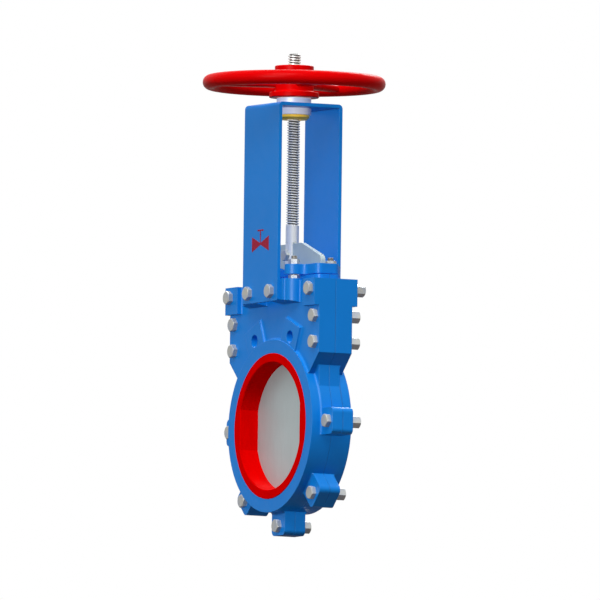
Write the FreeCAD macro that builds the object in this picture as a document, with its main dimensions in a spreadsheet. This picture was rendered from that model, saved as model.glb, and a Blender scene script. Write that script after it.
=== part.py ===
"""Knife gate valve, DN 200, wafer pattern, with a rising stem and a handwheel.

The part frame has its origin where the bore axis crosses the middle plane of
the gate.  The bore runs along Y, the stem along +Z, and -Y is the front.
Lengths are millimetres and angles are degrees.
"""
import FreeCAD, Part
import math
import os

import Sketcher

os.makedirs("parts", exist_ok=True)
doc = FreeCAD.newDocument("KnifeGateValve")
sheet = doc.addObject("Spreadsheet::Sheet", "Sizes")

# ---------------------------------------------------------------- sizes
# Driving dimensions, one group per piece of the valve.
SIZES = {
    # port, liner and body halves ("depth" is measured along Y from the middle plane)
    "bore_dia": 200,
    "bore_flats": 190,
    "sleeve_wall": 8,
    "lip_wall": 14,
    "lip_thick": 6,
    "lip_proud": 1,
    "lip_round": 1.5,
    "seat_gap": 0.1,
    "drum_dia": 270,
    "face_depth": 35,
    "gasket_thick": 0.5,
    "gasket_inset": 0.4,
    "flange_depth": 18.2,
    "web_half": 125,
    "web_radius": 137.3,
    "lug_half": 21,
    "lug_reach": 170.5,
    "lug_round": 8,
    "lug_bolt_radius": 155.5,
    "chest_half": 143,
    "chest_depth": 29.5,
    "chest_bottom": 107.6,
    "chest_taper": 32,
    "chest_top": 224,
    "ear_inner": 105,
    "ear_bottom": 181.5,
    "ear_depth": 38.5,
    "boss_half": 25,
    "boss_reach": 171,
    "boss_depth": 33.7,
    "pad_inner": 25,
    "pad_outer": 64,
    "pad_round": 4,
    "lump_bottom": 192.6,
    "lump_slope": 3.5,
    "lump_top": 226.5,
    "stud_boss_radius": 15,
    "box_half": 122.5,
    "box_depth": 21,
    "box_round": 10,
    "box_top": 231.7,
    "chest_fillet": 4,
    "rim_fillet": 4,
    "boss_fillet": 3,
    "cavity_clear": 4,
    "cavity_depth": 5,
    # packing chamber and gland
    "chamber_half": 110,
    "chamber_depth": 12.2,
    "chamber_round": 3,
    "chamber_floor": 190,
    "ring_height": 8,
    "ring_count": 3,
    "packing_gap": 0.1,
    "gland_lift": 1.7,
    "gland_thick": 15.6,
    "gland_half": 120,
    "gland_ear_radius": 15,
    "gland_fillet": 9,
    "gland_notch_half": 20,
    "gland_notch_deep": 4.2,
    "gland_gap": 0.3,
    "stud_across": 66,
    "stud_out": 32.3,
    "stud_depth": 19.8,
    "stud_end": 262.5,
    # flange holes and fasteners
    "port_pcd": 295,
    "port_bolt": 20,
    "port_hole_deep": 20,
    "bolt_dia": 12,
    "bolt_clear": 1,
    "thread_gap": 0.05,
    "bolt_flats": 19,
    "bolt_head": 7.5,
    "nut_flats": 18,
    "bolt_nut": 18,
    "chest_bolt_across": 129,
    "pad_bolt_level": 208,
    "chest_bolt_high": 166,
    "chest_bolt_low": 125,
    "stud_dia": 10,
    "stud_flats": 16,
    "stud_nut": 8.4,
    "jam_nut": 6,
    # yoke
    "yoke_half": 55.2,
    "yoke_inside": 51,
    "yoke_sheet": 5.5,
    "yoke_top": 503.9,
    "yoke_bend": 1.5,
    "yoke_corner": 3,
    "yoke_screw_across": 35,
    "yoke_screw_long": 29,
    # gate and stem
    "gate_thick": 8,
    "gate_half": 101,
    "gate_arc": 115,
    "gate_arc_level": 13,
    "gate_top": 286.5,
    "gate_flat": 36,
    "gate_shoulder": 262,
    "gate_round": 10,
    "gate_bevel": 2,
    "stem_dia": 20,
    "stem_pitch": 4,
    "stem_core": 15.5,
    "stem_plain": 20.6,
    "stem_shoulder": 315,
    "stem_end": 583.8,
    "fork_end": 253,
    "fork_slot_top": 288.5,
    "fork_gap": 0.1,
    "fork_flats": 18,
    "clevis_level": 268,
    "clevis_dia": 10,
    "clevis_head": 6.4,
    "clevis_bolt_end": 3,
    # drive
    "nut_flange_dia": 49,
    "nut_bottom": 480.8,
    "nut_flange": 6,
    "nut_chamfer": 3.5,
    "nut_shank_dia": 30,
    "nut_thread_start": 520,
    "nut_top": 563,
    "nut_bore_dia": 23,
    "nut_edge": 1,
    "flank_gap": 0.3,
    "washer_thick": 1.2,
    "housing_dia": 54,
    "housing_bottom": 488,
    "housing_top": 514.5,
    "housing_gap": 0.3,
    "housing_edge": 0.8,
    "bearing_floor": 503.5,
    "bearing_dia": 47,
    "bearing_tall": 11.5,
    "bearing_pitch_dia": 38.8,
    "ball_dia": 6,
    "ball_count": 14,
    "race_split": 3,
    "cage_thick": 1.6,
    "cage_wide": 7.8,
    "wheel_radius": 131.6,
    "wheel_tube": 22.4,
    "wheel_level": 538.1,
    "hub_dia": 61,
    "hub_top": 565,
    "hub_disc_dia": 78,
    "hub_disc_thick": 8.5,
    "hub_edge": 1.5,
    "hub_root": 3,
    "spoke_count": 3,
    "spoke_wide": 26,
    "spoke_tall": 14,
    "spoke_slim": 0.72,
    "spoke_edge": 0.8,
    "spoke_buried": 4,
    "lock_nut_dia": 48,
    "lock_nut_thick": 7,
    "lock_nut_sunk": 1,
    "lock_nut_slot": 6,
    "lock_nut_slot_deep": 3,
    "key_wide": 6,
    "key_tall": 4,
    "key_long": 26,
    "key_below_nut": 5,
}


class Size:
    """A length that remembers the sheet formula it is worked out from."""

    def __init__(self, value, formula):
        self.value = float(value)
        self.formula = formula

    def __add__(self, other):
        other = as_size(other)
        return Size(self.value + other.value, f"({self.formula} + {other.formula})")

    def __radd__(self, other):
        return as_size(other) + self

    def __sub__(self, other):
        other = as_size(other)
        return Size(self.value - other.value, f"({self.formula} - {other.formula})")

    def __rsub__(self, other):
        return as_size(other) - self

    def __mul__(self, other):
        other = as_size(other)
        return Size(self.value * other.value, f"({self.formula} * {other.formula})")

    def __rmul__(self, other):
        return as_size(other) * self

    def __truediv__(self, other):
        other = as_size(other)
        return Size(self.value / other.value, f"({self.formula} / {other.formula})")

    def __neg__(self):
        return 0 - self


def as_size(number):
    """Wrap a plain number, so that it can be added to sheet sizes."""
    if isinstance(number, Size):
        return number
    return Size(number, f"{number:.9f}")


def write_sheet():
    """Fill the sheet: a name, a plain number and the name as alias in each row."""
    for row, (name, number) in enumerate(SIZES.items(), start=1):
        sheet.set(f"A{row}", name)
        sheet.set(f"B{row}", str(number))
        sheet.setAlias(f"B{row}", name)
    doc.recompute()


def size(name):
    """One driving dimension, read from the sheet."""
    return Size(float(sheet.get(name)), f"Sizes.{name}")


def bind(item, prop, amount):
    """Drive one property of an object from the sheet."""
    item.setExpression(prop, as_size(amount).formula)


# ---------------------------------------------------------------- sketches
def new_body(label):
    body = doc.addObject("PartDesign::Body", label)
    body.Label = label
    return body


def origin_feature(body, role):
    """One of the body's own origin planes or axes."""
    return [item for item in body.Origin.OriginFeatures if item.Role == role][0]


def new_sketch(body, name, role, offset=0):
    """A sketch on one of the body's origin planes, moved along the plane's normal."""
    sketch = body.newObject("Sketcher::SketchObject", f"{body.Name}_{name}")
    sketch.AttachmentSupport = (origin_feature(body, role), "")
    sketch.MapMode = "FlatFace"
    bind(sketch, "AttachmentOffset.Base.z", offset)
    return sketch


def pin_point(sketch, geometry, which, place):
    """Fix one point of a sketch by its two distances from the sketch origin."""
    for kind, distance in zip(("DistanceX", "DistanceY"), place):
        distance = as_size(distance)
        rule = Sketcher.Constraint(kind, -1, 1, geometry, which, distance.value)
        index = sketch.addConstraint(rule)
        sketch.setExpression(f"Constraints[{index}]", distance.formula)


def set_radius(sketch, geometry, radius):
    radius = as_size(radius)
    index = sketch.addConstraint(Sketcher.Constraint("Radius", geometry, radius.value))
    sketch.setExpression(f"Constraints[{index}]", radius.formula)


def draw_circle(sketch, centre, radius):
    x, y = as_size(centre[0]), as_size(centre[1])
    middle = FreeCAD.Vector(x.value, y.value, 0)
    shape = Part.Circle(middle, FreeCAD.Vector(0, 0, 1), as_size(radius).value)
    geometry = sketch.addGeometry(shape)
    pin_point(sketch, geometry, 3, (x, y))
    set_radius(sketch, geometry, radius)


def tangent_lengths(corners):
    """How far each corner's rounding reaches along its two edges."""
    reaches = []
    count = len(corners)
    for index, (x, y, radius) in enumerate(corners):
        here = FreeCAD.Vector(x.value, y.value, 0)
        before = FreeCAD.Vector(corners[index - 1][0].value, corners[index - 1][1].value, 0)
        after_x, after_y, _ = corners[(index + 1) % count]
        after = FreeCAD.Vector(after_x.value, after_y.value, 0)
        angle = (before - here).getAngle(after - here)
        reaches.append(radius.value / math.tan(angle / 2))
    return reaches


def draw_outline(sketch, points):
    """A closed outline of straight edges; a third number on a point rounds that corner."""
    corners = []
    for point in points:
        radius = point[2] if len(point) == 3 else 0
        corners.append((as_size(point[0]), as_size(point[1]), as_size(radius)))
    reaches = tangent_lengths(corners)
    count = len(corners)
    places = [FreeCAD.Vector(x.value, y.value, 0) for x, y, _ in corners]
    edges = []
    for index in range(count):
        following = (index + 1) % count
        way = (places[following] - places[index]).normalize()
        start = places[index] + way * reaches[index]
        end = places[following] - way * reaches[following]
        edges.append(sketch.addGeometry(Part.LineSegment(start, end)))
    for index in range(count):
        join_edges(sketch, edges[index - 1], edges[index], corners[index], places[index])


def join_edges(sketch, edge, next_edge, corner, place):
    """Join two outline edges at a corner, sharp or rounded, and fix the corner."""
    x, y, radius = corner
    if radius.value == 0:
        sketch.addConstraint(Sketcher.Constraint("Coincident", edge, 2, next_edge, 1))
        pin_point(sketch, next_edge, 1, (x, y))
        return
    start = sketch.Geometry[edge].EndPoint
    end = sketch.Geometry[next_edge].StartPoint
    centre = corner_centre(start, end, place, radius.value)
    bulge = centre + (place - centre).normalize() * radius.value
    arc = sketch.addGeometry(Part.Arc(start, bulge, end))
    turn = (place - start).cross(end - place).z
    first, last = (1, 2) if turn > 0 else (2, 1)
    sketch.addConstraint(Sketcher.Constraint("Tangent", edge, 2, arc, first))
    sketch.addConstraint(Sketcher.Constraint("Tangent", arc, last, next_edge, 1))
    mark = sketch.addGeometry(Part.Point(place), True)
    sketch.addConstraint(Sketcher.Constraint("PointOnObject", mark, 1, edge))
    sketch.addConstraint(Sketcher.Constraint("PointOnObject", mark, 1, next_edge))
    pin_point(sketch, mark, 1, (x, y))
    set_radius(sketch, arc, radius)


def corner_centre(start, end, place, radius):
    """Centre of the arc that rounds a corner and touches its edges at start and end."""
    middle = (start + end) * 0.5
    chord_half = (end - start).Length / 2
    inward = (middle - place).normalize()
    return middle + inward * math.sqrt(max(radius ** 2 - chord_half ** 2, 0))


def turned(x, y, degrees):
    """A point turned about the sketch origin."""
    cosine = math.cos(math.radians(degrees))
    sine = math.sin(math.radians(degrees))
    return x * cosine - y * sine, x * sine + y * cosine


# ---------------------------------------------------------------- features
def add_feature(body, kind, sketch, suffix):
    feature = body.newObject(f"PartDesign::{kind}", f"{sketch.Name}_{suffix}")
    feature.Profile = sketch
    return feature


def pad(body, sketch, length, symmetric=False):
    feature = add_feature(body, "Pad", sketch, "pad")
    bind(feature, "Length", length)
    if symmetric:
        feature.SideType = "Symmetric"
    return feature


def pocket(body, sketch, length, along_normal=False, symmetric=False):
    """Cut material away, against the sketch's normal or along it."""
    feature = add_feature(body, "Pocket", sketch, "pocket")
    feature.Reversed = along_normal
    bind(feature, "Length", length)
    if symmetric:
        feature.SideType = "Symmetric"
    return feature


def revolve(body, sketch, kind="Revolution"):
    """Turn a profile right round the sketch's vertical axis."""
    feature = add_feature(body, kind, sketch, "turned")
    feature.ReferenceAxis = (sketch, ["V_Axis"])
    feature.Angle = 360
    return feature


def dress(body, kind, amount, wanted):
    """Fillet or chamfer the edges of the body that a test picks out."""
    doc.recompute()
    base = body.Tip
    names = [f"Edge{index}" for index, edge in enumerate(base.Shape.Edges, start=1) if wanted(edge)]
    feature = body.newObject(f"PartDesign::{kind}", f"{body.Name}_{wanted.__name__[3:]}")
    feature.Base = (base, names)
    bind(feature, "Radius" if kind == "Fillet" else "Size", amount)
    return feature


def pattern_round(body, feature, count):
    """Repeat a feature evenly about the stem's axis."""
    pattern = body.newObject("PartDesign::PolarPattern", f"{feature.Name}_ring")
    pattern.Originals = [feature]
    pattern.Axis = (origin_feature(body, "Z_Axis"), [""])
    pattern.Angle = 360
    bind(pattern, "Occurrences", count)
    body.Tip = pattern
    return pattern


def primitive(kind, name, **amounts):
    item = doc.addObject(f"Part::{kind}", name)
    for prop, amount in amounts.items():
        bind(item, prop, amount)
    return item


def place(item, x=0, y=0, z=0, turn=None):
    """Put an object at a place that the sheet drives, after an optional turn."""
    if turn is not None:
        item.Placement = FreeCAD.Placement(FreeCAD.Vector(0, 0, 0), turn)
    for axis, amount in zip("xyz", (x, y, z)):
        bind(item, f"Placement.Base.{axis}", amount)
    return item


def join(kind, name, base, tool):
    item = doc.addObject(f"Part::{kind}", name)
    item.Base = base
    item.Tool = tool
    return item


def group(label, items):
    """Separate solids that share one node."""
    item = doc.addObject("Part::Compound", label)
    item.Label = label
    item.Links = items
    return item


def mirror_to_rear(label, source):
    """The rear twin of a front piece."""
    item = doc.addObject("Part::Mirroring", label)
    item.Label = label
    item.Source = source
    item.Normal = FreeCAD.Vector(0, 1, 0)
    return item


LUG_ANGLES = (0, -45, -90, -135, -180)
PORT_ANGLES = (67.5, 112.5)
FACE_REAR = FreeCAD.Rotation(FreeCAD.Vector(1, 0, 0), -90)
FACE_FRONT = FreeCAD.Rotation(FreeCAD.Vector(1, 0, 0), 90)
HEX_EDGE = 1 / math.cos(math.radians(30))
HEAD_BEVEL = math.tan(math.radians(60))
BEVEL_START = 0.95
CORNER_UP = 30
CORNER_TILTED = 12


def spun(facing, degrees):
    """A facing with a spin about the fastener's own axis put before it."""
    return facing.multiply(FreeCAD.Rotation(FreeCAD.Vector(0, 0, 1), degrees))


def leaning(facing, degrees, across):
    """A facing spun so that the hexagon's outward corner points down on the right, up on the left."""
    outward = -1 if across.value > 0 else 1
    return spun(facing, degrees * outward)


# ---------------------------------------------------------------- fasteners
def hexagon(name, flats, thick):
    """A six-sided head or nut that stands on z = 0, its top corners bevelled."""
    prism = primitive("Prism", f"{name}_prism", Circumradius=flats / 2 * HEX_EDGE, Height=thick)
    prism.Polygon = 6
    top_radius = flats / 2 * BEVEL_START
    cone = primitive(
        "Cone",
        f"{name}_bevel",
        Radius1=top_radius + thick * HEAD_BEVEL,
        Radius2=top_radius,
        Height=thick,
    )
    return join("Common", f"{name}_hexagon", prism, cone)


def rod(name, diameter, length):
    """A round bar along -z from z = 0, with a bevelled far end."""
    bevel = diameter / 10
    shank = primitive("Cylinder", f"{name}_shank", Radius=diameter / 2, Height=length - bevel)
    place(shank, z=bevel - length)
    tip = primitive("Cone", f"{name}_tip", Radius1=diameter / 2 - bevel, Radius2=diameter / 2, Height=bevel)
    place(tip, z=-length)
    return join("Fuse", f"{name}_rod", shank, tip)


def hex_bolt(name, diameter, flats, head, length):
    """A hexagon-head bolt: head above z = 0, shank below it."""
    return join("Fuse", name, hexagon(name, flats, head), rod(name, diameter, length))


def hex_nut(name, diameter, flats, thick):
    """A hexagon nut on z = 0; its bore clears the thread that fills it."""
    hole = primitive("Cylinder", f"{name}_bore", Radius=diameter / 2 + size("thread_gap"), Height=thick)
    return join("Cut", name, hexagon(name, flats, thick), hole)


# ---------------------------------------------------------------- body halves
def mirrored_x(x, z):
    """A place and its twin across the stem."""
    return [(x, z), (-x, z)]


def lug_places():
    """Five lug bolts: both sides, straight down and the two diagonals below."""
    radius = size("lug_bolt_radius")
    return [turned(radius, as_size(0), angle) for angle in LUG_ANGLES]


def draw_lugs(sketch, inset):
    """Five rounded lugs round the lower half of the drum."""
    inner = size("bore_dia") / 2
    half = size("lug_half") - inset
    reach = size("lug_reach") - inset
    for angle in LUG_ANGLES:
        draw_outline(
            sketch,
            [
                turned(inner, -half, angle),
                (*turned(reach, -half, angle), size("lug_round")),
                (*turned(reach, half, angle), size("lug_round")),
                turned(inner, half, angle),
            ],
        )


def draw_box(sketch, half, low, high):
    """A rectangle centred across the stem."""
    draw_outline(sketch, [(-half, low), (half, low), (half, high), (-half, high)])


def draw_chest(sketch, inset):
    """The chest's outline: upright sides that taper in at 45 degrees to the drum."""
    half = size("chest_half") - inset
    taper = size("chest_taper")
    bottom = size("chest_bottom")
    top = size("chest_top") - inset
    draw_outline(
        sketch,
        [
            (taper - half, bottom - taper),
            (half - taper, bottom - taper),
            (half, bottom),
            (half, top),
            (-half, top),
            (-half, bottom),
        ],
    )


def draw_port_bosses(sketch, inset):
    """Two bosses beside the stem for the tapped flange holes."""
    inner = size("bore_dia") / 2
    half = size("boss_half") - inset
    reach = size("boss_reach") - inset
    for angle in PORT_ANGLES:
        draw_outline(
            sketch,
            [
                turned(inner, -half, angle),
                turned(reach, -half, angle),
                turned(reach, half, angle),
                turned(inner, half, angle),
            ],
        )


def draw_half_disc(sketch, radius):
    """The upper half of a disc about the bore axis."""
    reach = radius.value
    right = FreeCAD.Vector(reach, 0, 0)
    left = FreeCAD.Vector(-reach, 0, 0)
    arc = sketch.addGeometry(Part.Arc(right, FreeCAD.Vector(0, reach, 0), left))
    base = sketch.addGeometry(Part.LineSegment(left, right))
    sketch.addConstraint(Sketcher.Constraint("Coincident", arc, 2, base, 1))
    sketch.addConstraint(Sketcher.Constraint("Coincident", base, 2, arc, 1))
    sketch.addConstraint(Sketcher.Constraint("Horizontal", base))
    sketch.addConstraint(Sketcher.Constraint("PointOnObject", arc, 3, base))
    pin_point(sketch, arc, 3, (0, 0))
    set_radius(sketch, arc, radius)


def draw_cavity(sketch, half, arc, top):
    """A slot with a round bottom, like the gate's own outline."""
    level = size("gate_arc_level")
    drop = math.sqrt(arc.value ** 2 - half.value ** 2)
    low = level.value - drop
    right_low = FreeCAD.Vector(half.value, low, 0)
    left_low = FreeCAD.Vector(-half.value, low, 0)
    right_high = FreeCAD.Vector(half.value, top.value, 0)
    left_high = FreeCAD.Vector(-half.value, top.value, 0)
    deepest = FreeCAD.Vector(0, level.value - arc.value, 0)
    right = sketch.addGeometry(Part.LineSegment(right_low, right_high))
    across = sketch.addGeometry(Part.LineSegment(right_high, left_high))
    left = sketch.addGeometry(Part.LineSegment(left_high, left_low))
    bottom = sketch.addGeometry(Part.Arc(left_low, deepest, right_low))
    for edge, following in ((right, across), (across, left)):
        sketch.addConstraint(Sketcher.Constraint("Coincident", edge, 2, following, 1))
    sketch.addConstraint(Sketcher.Constraint("Coincident", left, 2, bottom, 1))
    sketch.addConstraint(Sketcher.Constraint("Coincident", bottom, 2, right, 1))
    sketch.addConstraint(Sketcher.Constraint("Vertical", right))
    sketch.addConstraint(Sketcher.Constraint("Vertical", left))
    pin_point(sketch, across, 1, (half, top))
    pin_point(sketch, across, 2, (-half, top))
    pin_point(sketch, bottom, 3, (0, level))
    set_radius(sketch, bottom, arc)


def draw_plan(sketch, half, depth, corner):
    """A rounded rectangle seen from above."""
    draw_outline(
        sketch,
        [
            (-half, -depth, corner),
            (half, -depth, corner),
            (half, depth, corner),
            (-half, depth, corner),
        ],
    )


def bolt_places():
    """All eleven through bolts that clamp the two halves together."""
    across = size("chest_bolt_across")
    places = list(lug_places())
    for level in ("pad_bolt_level", "chest_bolt_high", "chest_bolt_low"):
        places += mirrored_x(across, size(level))
    return places


def port_places():
    """The tapped flange holes, each 22.5 degrees from the stem."""
    radius = size("port_pcd") / 2
    return [turned(radius, as_size(0), angle) for angle in PORT_ANGLES]


def half_layer(body, name, depth, draw):
    """One layer of a casting, from the joint face forward to a depth."""
    joint = size("gasket_thick") / 2
    sketch = new_sketch(body, name, "XZ_Plane", joint)
    draw(sketch)
    pad(body, sketch, size(depth) - joint)


def add_casting_layers(body):
    """The solid form of a half, as layers of growing depth."""
    web_top = size("chest_bottom") + size("chest_taper")
    half_layer(body, "drum", "face_depth", lambda face: draw_circle(face, (0, 0), size("drum_dia") / 2))
    half_layer(body, "lugs", "flange_depth", lambda face: draw_lugs(face, as_size(0)))
    half = size("web_half")
    half_layer(body, "web", "flange_depth", lambda face: draw_box(face, half, as_size(0), web_top))
    half_layer(body, "web_rim", "flange_depth", lambda face: draw_half_disc(face, size("web_radius")))
    half_layer(body, "chest", "chest_depth", lambda face: draw_chest(face, as_size(0)))
    half_layer(body, "port_bosses", "boss_depth", lambda face: draw_port_bosses(face, as_size(0)))
    half_layer(body, "ears", "ear_depth", draw_ears)


def draw_ears(sketch):
    """Thicker pads at the chest's two upper corners."""
    inner = size("ear_inner")
    outer = size("chest_half")
    low = size("ear_bottom")
    high = size("chest_top")
    draw_outline(sketch, [(inner, low), (outer, low), (outer, high), (inner, high)])
    draw_outline(sketch, [(-outer, low), (-inner, low), (-inner, high), (-outer, high)])


def add_yoke_lumps(body):
    """Flat pads for the yoke legs, each with a round boss for a gland stud."""
    level = size("lump_bottom") - size("lump_slope")
    tall = size("lump_top") - level
    depth = size("yoke_inside")
    back = size("stud_out") / 2
    pads = new_sketch(body, "yoke_pads", "XY_Plane", level)
    for side in (1, -1):
        near = size("pad_inner") * side
        far = size("pad_outer") * side
        draw_outline(pads, [(near, -back), (near, -depth, size("pad_round")), (far, -depth), (far, -back)])
    pad(body, pads, tall)
    bosses = new_sketch(body, "stud_bosses", "XY_Plane", level)
    for x, y in mirrored_x(size("stud_across"), -size("stud_out")):
        draw_circle(bosses, (x, y), size("stud_boss_radius"))
    pad(body, bosses, tall)
    wedge = new_sketch(body, "lump_slope", "YZ_Plane")
    draw_outline(
        wedge,
        [
            (-size("chest_depth"), level),
            (-depth - 2, size("lump_bottom") + 1),
            (-depth - 2, level - 1),
            (-size("chest_depth"), level - 1),
        ],
    )
    pocket(body, wedge, (size("stud_across") + size("stud_boss_radius")) * 2 + 2, symmetric=True)


def add_stuffing_box(body):
    """The raised rim round the packing chamber."""
    base = size("chest_top") - 10
    joint = size("gasket_thick") / 2
    half = size("box_half")
    depth = size("box_depth")
    corner = size("box_round")
    sketch = new_sketch(body, "stuffing_box", "XY_Plane", base)
    draw_outline(sketch, [(-half, -joint), (-half, -depth, corner), (half, -depth, corner), (half, -joint)])
    pad(body, sketch, size("box_top") - base)


def lies_at_depth(box, depth):
    """Whether an edge lies wholly in the plane at one depth."""
    return box.YLength < 0.01 and abs(box.Center.y + size(depth).value) < 0.01


def is_chest_corner(edge):
    """Inner corners on the chest's front, round the drum and the port bosses."""
    box = edge.BoundBox
    reach = (size("chest_half") - size("chest_taper")).value + 1
    within = max(box.XMax, -box.XMin) < reach and box.ZMax < size("boss_reach").value
    return lies_at_depth(box, "chest_depth") and within


def is_rim_corner(edge):
    """Inner corners on the flange: round the drum and under the chest's tapers."""
    box = edge.BoundBox
    if not lies_at_depth(box, "flange_depth"):
        return False
    if isinstance(edge.Curve, Part.Circle):
        return abs(edge.Curve.Radius - size("drum_dia").value / 2) < 0.01
    taper_foot = (size("chest_bottom") - size("chest_taper")).value
    inside_web = max(box.XMax, -box.XMin) < size("web_half").value + 0.01
    return inside_web and box.ZMin > taper_foot - 1 and box.ZMax < size("chest_bottom").value


def is_upright_corner(edge):
    """The upright inner corners beside the yoke pads, the stud bosses and the ears."""
    box = edge.BoundBox
    upright = box.XLength < 0.01 and box.YLength < 0.01
    out = abs(box.Center.x)
    forward = -box.Center.y
    on_chest = abs(forward - size("chest_depth").value) < 0.01 and out < size("ear_inner").value + 0.01
    beside_pad = abs(out - size("pad_outer").value) < 0.01 and forward < size("yoke_inside").value - 1
    return upright and (on_chest or beside_pad)


def add_casting_fillets(body):
    """The casting's own rounded inner corners."""
    dress(body, "Fillet", size("chest_fillet"), is_chest_corner)
    dress(body, "Fillet", size("rim_fillet"), is_rim_corner)
    dress(body, "Fillet", size("boss_fillet"), is_upright_corner)


def add_casting_cuts(body):
    """Everything that is machined out of a half."""
    face = size("face_depth")
    sleeve = new_sketch(body, "sleeve_seat", "XZ_Plane")
    draw_circle(sleeve, (0, 0), size("bore_dia") / 2 + size("sleeve_wall"))
    pocket(body, sleeve, face + 1, along_normal=True)
    lip = new_sketch(body, "lip_seat", "XZ_Plane", face + size("lip_proud") - size("lip_thick"))
    draw_circle(lip, (0, 0), size("bore_dia") / 2 + size("lip_wall"))
    pocket(body, lip, size("lip_thick"), along_normal=True)
    cavity = new_sketch(body, "gate_cavity", "XZ_Plane")
    clear = size("cavity_clear")
    draw_cavity(cavity, size("gate_half") + clear, size("gate_arc") + clear, size("chamber_floor") + 1)
    pocket(body, cavity, size("cavity_depth"), along_normal=True)
    chamber = new_sketch(body, "packing_chamber", "XY_Plane", size("chamber_floor"))
    draw_plan(chamber, size("chamber_half"), size("chamber_depth"), size("chamber_round"))
    pocket(body, chamber, size("box_top") - size("chamber_floor") + 1, along_normal=True)
    bolts = new_sketch(body, "bolt_holes", "XZ_Plane")
    for x, z in bolt_places():
        draw_circle(bolts, (x, z), (size("bolt_dia") + size("bolt_clear")) / 2)
    pocket(body, bolts, size("ear_depth") + 1, along_normal=True)


def add_tapped_holes(body):
    """Blind tapped holes: flange bolts, yoke screws and gland studs."""
    gap = size("thread_gap")
    ports = new_sketch(body, "port_holes", "XZ_Plane", size("boss_depth"))
    for x, z in port_places():
        draw_circle(ports, (x, z), size("port_bolt") / 2)
    pocket(body, ports, size("port_hole_deep"))
    screws = new_sketch(body, "yoke_screw_holes", "XZ_Plane", size("yoke_inside"))
    for x, z in mirrored_x(size("yoke_screw_across"), size("pad_bolt_level")):
        draw_circle(screws, (x, z), size("bolt_dia") / 2 + gap)
    pocket(body, screws, size("yoke_screw_long") - size("yoke_sheet") + 1)
    studs = new_sketch(body, "stud_holes", "XY_Plane", size("lump_top"))
    for x, y in mirrored_x(size("stud_across"), -size("stud_out")):
        draw_circle(studs, (x, y), size("stud_dia") / 2 + gap)
    pocket(body, studs, size("stud_depth") + 1)


def make_body_front():
    """Front half of the split casting."""
    body = new_body("body_front")
    add_casting_layers(body)
    add_yoke_lumps(body)
    add_stuffing_box(body)
    add_casting_fillets(body)
    add_casting_cuts(body)
    add_tapped_holes(body)
    return body


def make_body_gasket():
    """The sheet gasket between the halves, set back a little from their edges."""
    body = new_body("body_gasket")
    thick = size("gasket_thick")
    inset = size("gasket_inset")
    web_top = size("chest_bottom") + size("chest_taper")
    layers = {
        "drum": lambda face: draw_circle(face, (0, 0), size("drum_dia") / 2 - inset),
        "lugs": lambda face: draw_lugs(face, inset),
        "web": lambda face: draw_box(face, size("web_half") - inset, as_size(0), web_top),
        "web_rim": lambda face: draw_half_disc(face, size("web_radius") - inset),
        "chest": lambda face: draw_chest(face, inset),
        "box": lambda face: draw_box(face, size("box_half") - inset, web_top, size("box_top") - inset),
    }
    for name, draw in layers.items():
        sketch = new_sketch(body, name, "XZ_Plane")
        draw(sketch)
        pad(body, sketch, thick, symmetric=True)
    cavity = new_sketch(body, "cavity", "XZ_Plane")
    clear = size("cavity_clear")
    draw_cavity(cavity, size("gate_half") + clear, size("gate_arc") + clear, size("chamber_floor") + 1)
    pocket(body, cavity, thick * 2, symmetric=True)
    chamber = new_sketch(body, "chamber", "XZ_Plane")
    draw_box(chamber, size("chamber_half"), size("chamber_floor"), size("box_top"))
    pocket(body, chamber, thick * 2, symmetric=True)
    bolts = new_sketch(body, "bolt_holes", "XZ_Plane")
    for x, z in bolt_places():
        draw_circle(bolts, (x, z), (size("bolt_dia") + size("bolt_clear")) / 2)
    pocket(body, bolts, thick * 2, symmetric=True)
    return body


def draw_port(sketch):
    """The bore's outline: a circle with a flat on each side."""
    radius = size("bore_dia") / 2
    flat = size("bore_flats") / 2
    rise = math.sqrt(radius.value ** 2 - flat.value ** 2)
    quarters = ((1, 1), (-1, 1), (-1, -1), (1, -1))
    corners = [FreeCAD.Vector(flat.value * side, rise * up, 0) for side, up in quarters]
    top = sketch.addGeometry(Part.Arc(corners[0], FreeCAD.Vector(0, radius.value, 0), corners[1]))
    left = sketch.addGeometry(Part.LineSegment(corners[1], corners[2]))
    bottom = sketch.addGeometry(Part.Arc(corners[2], FreeCAD.Vector(0, -radius.value, 0), corners[3]))
    right = sketch.addGeometry(Part.LineSegment(corners[3], corners[0]))
    for edge, following in ((top, left), (left, bottom), (bottom, right), (right, top)):
        sketch.addConstraint(Sketcher.Constraint("Coincident", edge, 2, following, 1))
    for edge in (left, right):
        sketch.addConstraint(Sketcher.Constraint("Vertical", edge))
    for arc in (top, bottom):
        pin_point(sketch, arc, 3, (0, 0))
        set_radius(sketch, arc, radius)
    for edge, side in ((left, -1), (right, 1)):
        rule = Sketcher.Constraint("DistanceX", -1, 1, edge, 1, flat.value * side)
        index = sketch.addConstraint(rule)
        sketch.setExpression(f"Constraints[{index}]", (flat * side).formula)


def make_liner_front():
    """Moulded urethane liner: a sleeve in the bore and a lip on the sealing face."""
    body = new_body("liner_front")
    bore = size("bore_dia") / 2
    sleeve = bore + size("sleeve_wall")
    lip = bore + size("lip_wall")
    seat = -size("gate_thick") / 2 - size("seat_gap")
    outside = -size("face_depth") - size("lip_proud")
    step = outside + size("lip_thick")
    profile = new_sketch(body, "profile", "XY_Plane")
    draw_outline(
        profile,
        [
            (0, outside),
            (lip, outside, 1),
            (lip, step),
            (sleeve, step),
            (sleeve, seat),
            (0, seat),
        ],
    )
    revolve(body, profile)
    port = new_sketch(body, "port", "XZ_Plane")
    draw_port(port)
    pocket(body, port, size("face_depth") * 3, symmetric=True)
    dress(body, "Fillet", size("lip_round"), is_port_rim)
    return body


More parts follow.
